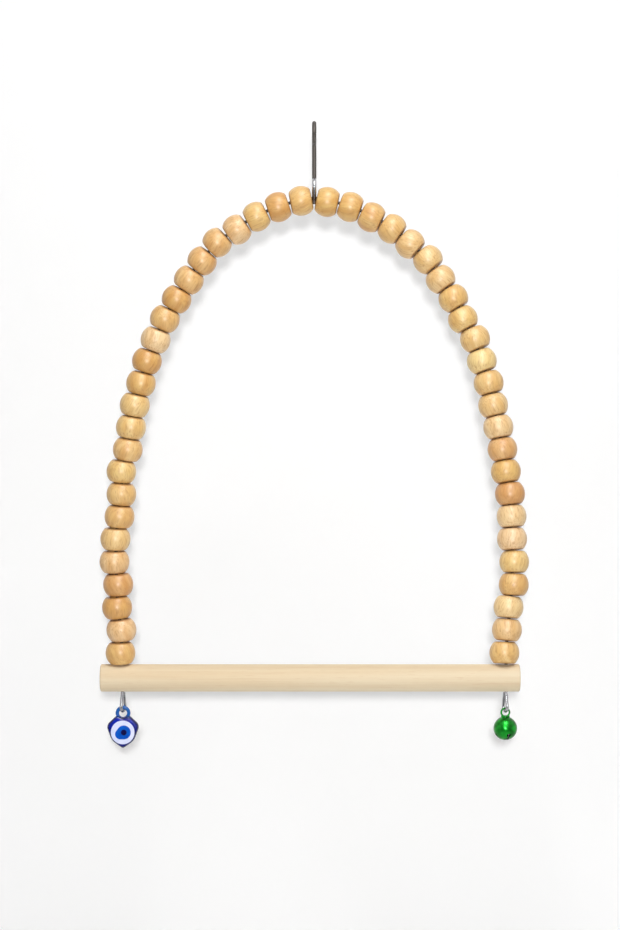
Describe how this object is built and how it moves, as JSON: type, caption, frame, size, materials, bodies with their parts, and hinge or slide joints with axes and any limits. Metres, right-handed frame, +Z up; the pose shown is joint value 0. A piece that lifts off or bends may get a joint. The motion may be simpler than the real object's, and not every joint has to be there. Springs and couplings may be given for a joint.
{
  "type": "bird perch",
  "caption": "Hanging bird swing: round wooden perch in a wire arch strung with loose turned wooden beads, on a steel hook, with a glass heart charm and a jingle bell below its ends.",
  "frame": {"origin": "seat of the hook: highest point of its inside, where it bears on the bar that it hangs on", "axes": "+Z up, +X to the right along the perch, -Y towards the front"},
  "size_m": [0.1891, 0.0132, 0.2757],
  "materials": {
    "wire_steel": "drawn wire, lightly polished",
    "perch_wood": "sanded bare wood",
    "bead_wood": "turned wood under thin satin varnish",
    "charm_blue": "cobalt blue glass, fire polished",
    "charm_white": "opaque white glass",
    "charm_iris": "opaque blue glass",
    "charm_pupil": "opaque dark blue glass",
    "bell_green": "bright green metallic lacquer",
    "clapper_steel": "plain steel ball"
  },
  "bodies": {
    "hook": {"hanging_hook": "wire_steel"},
    "swing": {"arch_wire": "wire_steel", "perch_dowel": "perch_wood"},
    "charm": {"charm_heart": "charm_blue", "charm_eye_white": "charm_white", "charm_eye_iris": "charm_iris", "charm_eye_pupil": "charm_pupil"},
    "bell": {"bell_shell": "bell_green", "bell_ear": "bell_green"},
    "clapper": {"bell_clapper": "clapper_steel"},
    "bead_01": {"bead_01": "bead_wood"},
    "bead_02": {"bead_02": "bead_wood"},
    "bead_03": {"bead_03": "bead_wood"},
    "bead_04": {"bead_04": "bead_wood"},
    "bead_05": {"bead_05": "bead_wood"},
    "bead_06": {"bead_06": "bead_wood"},
    "bead_07": {"bead_07": "bead_wood"},
    "bead_08": {"bead_08": "bead_wood"},
    "bead_09": {"bead_09": "bead_wood"},
    "bead_10": {"bead_10": "bead_wood"},
    "bead_11": {"bead_11": "bead_wood"},
    "bead_12": {"bead_12": "bead_wood"},
    "bead_13": {"bead_13": "bead_wood"},
    "bead_14": {"bead_14": "bead_wood"},
    "bead_15": {"bead_15": "bead_wood"},
    "bead_16": {"bead_16": "bead_wood"},
    "bead_17": {"bead_17": "bead_wood"},
    "bead_18": {"bead_18": "bead_wood"},
    "bead_19": {"bead_19": "bead_wood"},
    "bead_20": {"bead_20": "bead_wood"},
    "bead_21": {"bead_21": "bead_wood"},
    "bead_22": {"bead_22": "bead_wood"},
    "bead_23": {"bead_23": "bead_wood"},
    "bead_24": {"bead_24": "bead_wood"},
    "bead_25": {"bead_25": "bead_wood"},
    "bead_26": {"bead_26": "bead_wood"},
    "bead_27": {"bead_27": "bead_wood"},
    "bead_28": {"bead_28": "bead_wood"},
    "bead_29": {"bead_29": "bead_wood"},
    "bead_30": {"bead_30": "bead_wood"},
    "bead_31": {"bead_31": "bead_wood"},
    "bead_32": {"bead_32": "bead_wood"},
    "bead_33": {"bead_33": "bead_wood"},
    "bead_34": {"bead_34": "bead_wood"},
    "bead_35": {"bead_35": "bead_wood"},
    "bead_36": {"bead_36": "bead_wood"},
    "bead_37": {"bead_37": "bead_wood"},
    "bead_38": {"bead_38": "bead_wood"},
    "bead_39": {"bead_39": "bead_wood"},
    "bead_40": {"bead_40": "bead_wood"},
    "bead_41": {"bead_41": "bead_wood"},
    "bead_42": {"bead_42": "bead_wood"},
    "bead_43": {"bead_43": "bead_wood"},
    "bead_44": {"bead_44": "bead_wood"},
    "bead_45": {"bead_45": "bead_wood"},
    "bead_46": {"bead_46": "bead_wood"},
    "bead_47": {"bead_47": "bead_wood"},
    "bead_48": {"bead_48": "bead_wood"}
  },
  "joints": [
    {"name": "arch_swing", "type": "hinge", "parent": "hook", "child": "swing", "pos_m": [0, 0, -0.03197], "axis": [1, 0, 0], "range_deg": [-40, 40]},
    {"name": "bell_swing", "type": "hinge", "parent": "swing", "child": "bell", "pos_m": [0.08417, 0.00073, -0.25775], "axis": [0, 1, 0], "range_deg": [-60, 60]},
    {"name": "charm_swing", "type": "hinge", "parent": "swing", "child": "charm", "pos_m": [-0.08417, 0.00073, -0.25775], "axis": [0, 1, 0], "range_deg": [-60, 60]},
    {"name": "clapper_rattle", "type": "slide", "parent": "bell", "child": "clapper", "axis": [0, 0, 1], "range_m": [0, 0.0048]},
    {"name": "spin_bead_01", "type": "hinge", "parent": "swing", "child": "bead_01", "pos_m": [-0.08524, 0, -0.23203], "axis": [-0.0369, -0.1045, 0.9938], "continuous": true},
    {"name": "spin_bead_02", "type": "hinge", "parent": "swing", "child": "bead_02", "pos_m": [-0.08484, 0, -0.22193], "axis": [-0.0944, -0.1045, 0.99], "continuous": true},
    {"name": "spin_bead_03", "type": "hinge", "parent": "swing", "child": "bead_03", "pos_m": [-0.08672, 0, -0.21202], "axis": [-0.0914, -0.1045, 0.9903], "continuous": true},
    {"name": "spin_bead_04", "type": "hinge", "parent": "swing", "child": "bead_04", "pos_m": [-0.08623, 0, -0.20194], "axis": [-0.0534, -0.1045, 0.9931], "continuous": true},
    {"name": "spin_bead_05", "type": "hinge", "parent": "swing", "child": "bead_05", "pos_m": [-0.08789, 0, -0.19197], "axis": [-0.0043, -0.1045, 0.9945], "continuous": true},
    {"name": "spin_bead_06", "type": "hinge", "parent": "swing", "child": "bead_06", "pos_m": [-0.08746, 0, -0.18193], "axis": [0.0405, -0.1045, 0.9937], "continuous": true},
    {"name": "spin_bead_07", "type": "hinge", "parent": "swing", "child": "bead_07", "pos_m": [-0.08566, 0, -0.17207], "axis": [0.0849, -0.1045, 0.9909], "continuous": true},
    {"name": "spin_bead_08", "type": "hinge", "parent": "swing", "child": "bead_08", "pos_m": [-0.08483, 0, -0.16221], "axis": [0.11, -0.1045, 0.9884], "continuous": true},
    {"name": "spin_bead_09", "type": "hinge", "parent": "swing", "child": "bead_09", "pos_m": [-0.08484, 0, -0.15222], "axis": [0.1378, -0.1045, 0.9849], "continuous": true},
    {"name": "spin_bead_10", "type": "hinge", "parent": "swing", "child": "bead_10", "pos_m": [-0.08205, 0, -0.14262], "axis": [0.1671, -0.1045, 0.9804], "continuous": true},
    {"name": "spin_bead_11", "type": "hinge", "parent": "swing", "child": "bead_11", "pos_m": [-0.08062, 0, -0.13282], "axis": [0.1787, -0.1045, 0.9783], "continuous": true},
    {"name": "spin_bead_12", "type": "hinge", "parent": "swing", "child": "bead_12", "pos_m": [-0.07896, 0, -0.12305], "axis": [0.2115, -0.1045, 0.9718], "continuous": true},
    {"name": "spin_bead_13", "type": "hinge", "parent": "swing", "child": "bead_13", "pos_m": [-0.07623, 0, -0.11343], "axis": [0.2523, -0.1045, 0.962], "continuous": true},
    {"name": "spin_bead_14", "type": "hinge", "parent": "swing", "child": "bead_14", "pos_m": [-0.0736, 0, -0.10369], "axis": [0.3221, -0.1045, 0.9409], "continuous": true},
    {"name": "spin_bead_15", "type": "hinge", "parent": "swing", "child": "bead_15", "pos_m": [-0.06981, 0, -0.09434], "axis": [0.3768, -0.1045, 0.9204], "continuous": true},
    {"name": "spin_bead_16", "type": "hinge", "parent": "swing", "child": "bead_16", "pos_m": [-0.0657, 0, -0.08514], "axis": [0.4459, -0.1045, 0.889], "continuous": true},
    {"name": "spin_bead_17", "type": "hinge", "parent": "swing", "child": "bead_17", "pos_m": [-0.06053, 0, -0.07649], "axis": [0.4992, -0.1045, 0.8601], "continuous": true},
    {"name": "spin_bead_18", "type": "hinge", "parent": "swing", "child": "bead_18", "pos_m": [-0.05516, 0, -0.068], "axis": [0.5591, -0.1045, 0.8225], "continuous": true},
    {"name": "spin_bead_19", "type": "hinge", "parent": "swing", "child": "bead_19", "pos_m": [-0.04931, 0, -0.05964], "axis": [0.6334, -0.1045, 0.7667], "continuous": true},
    {"name": "spin_bead_20", "type": "hinge", "parent": "swing", "child": "bead_20", "pos_m": [-0.04273, 0, -0.05155], "axis": [0.7364, -0.1045, 0.6685], "continuous": true},
    {"name": "spin_bead_21", "type": "hinge", "parent": "swing", "child": "bead_21", "pos_m": [-0.03397, 0, -0.04586], "axis": [0.823, -0.0793, 0.5624], "continuous": true},
    {"name": "spin_bead_22", "type": "hinge", "parent": "swing", "child": "bead_22", "pos_m": [-0.02533, 0, -0.04015], "axis": [0.8885, -0.0483, 0.4564], "continuous": true},
    {"name": "spin_bead_23", "type": "hinge", "parent": "swing", "child": "bead_23", "pos_m": [-0.01583, 0, -0.03593], "axis": [0.944, -0.0249, 0.329], "continuous": true},
    {"name": "spin_bead_24", "type": "hinge", "parent": "swing", "child": "bead_24", "pos_m": [-0.00581, 0, -0.03319], "axis": [0.9794, -0.0092, 0.2017], "continuous": true},
    {"name": "spin_bead_25", "type": "hinge", "parent": "swing", "child": "bead_25", "pos_m": [0.00571, 0, -0.03365], "axis": [0.9775, -0.0092, -0.2109], "continuous": true},
    {"name": "spin_bead_26", "type": "hinge", "parent": "swing", "child": "bead_26", "pos_m": [0.01585, 0, -0.0359], "axis": [0.941, -0.0249, -0.3374], "continuous": true},
    {"name": "spin_bead_27", "type": "hinge", "parent": "swing", "child": "bead_27", "pos_m": [0.02518, 0, -0.04044], "axis": [0.8905, -0.0483, -0.4525], "continuous": true},
    {"name": "spin_bead_28", "type": "hinge", "parent": "swing", "child": "bead_28", "pos_m": [0.03422, 0, -0.0455], "axis": [0.8152, -0.0793, -0.5737], "continuous": true},
    {"name": "spin_bead_29", "type": "hinge", "parent": "swing", "child": "bead_29", "pos_m": [0.04214, 0, -0.05219], "axis": [0.7339, -0.1045, -0.6712], "continuous": true},
    {"name": "spin_bead_30", "type": "hinge", "parent": "swing", "child": "bead_30", "pos_m": [0.05003, 0, -0.05904], "axis": [0.6321, -0.1045, -0.7678], "continuous": true},
    {"name": "spin_bead_31", "type": "hinge", "parent": "swing", "child": "bead_31", "pos_m": [0.05558, 0, -0.06771], "axis": [0.551, -0.1045, -0.8279], "continuous": true},
    {"name": "spin_bead_32", "type": "hinge", "parent": "swing", "child": "bead_32", "pos_m": [0.06119, 0, -0.07611], "axis": [0.504, -0.1045, -0.8573], "continuous": true},
    {"name": "spin_bead_33", "type": "hinge", "parent": "swing", "child": "bead_33", "pos_m": [0.0654, 0, -0.08529], "axis": [0.4465, -0.1045, -0.8887], "continuous": true},
    {"name": "spin_bead_34", "type": "hinge", "parent": "swing", "child": "bead_34", "pos_m": [0.07076, 0, -0.09395], "axis": [0.3811, -0.1045, -0.9186], "continuous": true},
    {"name": "spin_bead_35", "type": "hinge", "parent": "swing", "child": "bead_35", "pos_m": [0.07372, 0, -0.10365], "axis": [0.3222, -0.1045, -0.9409], "continuous": true},
    {"name": "spin_bead_36", "type": "hinge", "parent": "swing", "child": "bead_36", "pos_m": [0.07673, 0, -0.1133], "axis": [0.2522, -0.1045, -0.962], "continuous": true},
    {"name": "spin_bead_37", "type": "hinge", "parent": "swing", "child": "bead_37", "pos_m": [0.0787, 0, -0.12311], "axis": [0.2136, -0.1045, -0.9713], "continuous": true},
    {"name": "spin_bead_38", "type": "hinge", "parent": "swing", "child": "bead_38", "pos_m": [0.08099, 0, -0.13275], "axis": [0.189, -0.1045, -0.9764], "continuous": true},
    {"name": "spin_bead_39", "type": "hinge", "parent": "swing", "child": "bead_39", "pos_m": [0.08281, 0, -0.1425], "axis": [0.1592, -0.1045, -0.9817], "continuous": true},
    {"name": "spin_bead_40", "type": "hinge", "parent": "swing", "child": "bead_40", "pos_m": [0.08433, 0, -0.15229], "axis": [0.1417, -0.1045, -0.9844], "continuous": true},
    {"name": "spin_bead_41", "type": "hinge", "parent": "swing", "child": "bead_41", "pos_m": [0.08614, 0, -0.16207], "axis": [0.1058, -0.1045, -0.9889], "continuous": true},
    {"name": "spin_bead_42", "type": "hinge", "parent": "swing", "child": "bead_42", "pos_m": [0.08684, 0, -0.17197], "axis": [0.0794, -0.1045, -0.9913], "continuous": true},
    {"name": "spin_bead_43", "type": "hinge", "parent": "swing", "child": "bead_43", "pos_m": [0.08704, 0, -0.18195], "axis": [0.0541, -0.1045, -0.9931], "continuous": true},
    {"name": "spin_bead_44", "type": "hinge", "parent": "swing", "child": "bead_44", "pos_m": [0.088, 0, -0.19197], "axis": [-0.0083, -0.1045, -0.9945], "continuous": true},
    {"name": "spin_bead_45", "type": "hinge", "parent": "swing", "child": "bead_45", "pos_m": [0.08779, 0, -0.20202], "axis": [-0.0426, -0.1045, -0.9936], "continuous": true},
    {"name": "spin_bead_46", "type": "hinge", "parent": "swing", "child": "bead_46", "pos_m": [0.08549, 0, -0.21189], "axis": [-0.0949, -0.1045, -0.99], "continuous": true},
    {"name": "spin_bead_47", "type": "hinge", "parent": "swing", "child": "bead_47", "pos_m": [0.08482, 0, -0.22193], "axis": [-0.0962, -0.1045, -0.9899], "continuous": true},
    {"name": "spin_bead_48", "type": "hinge", "parent": "swing", "child": "bead_48", "pos_m": [0.08368, 0, -0.23199], "axis": [-0.0244, -0.1045, -0.9942], "continuous": true}
  ]
}
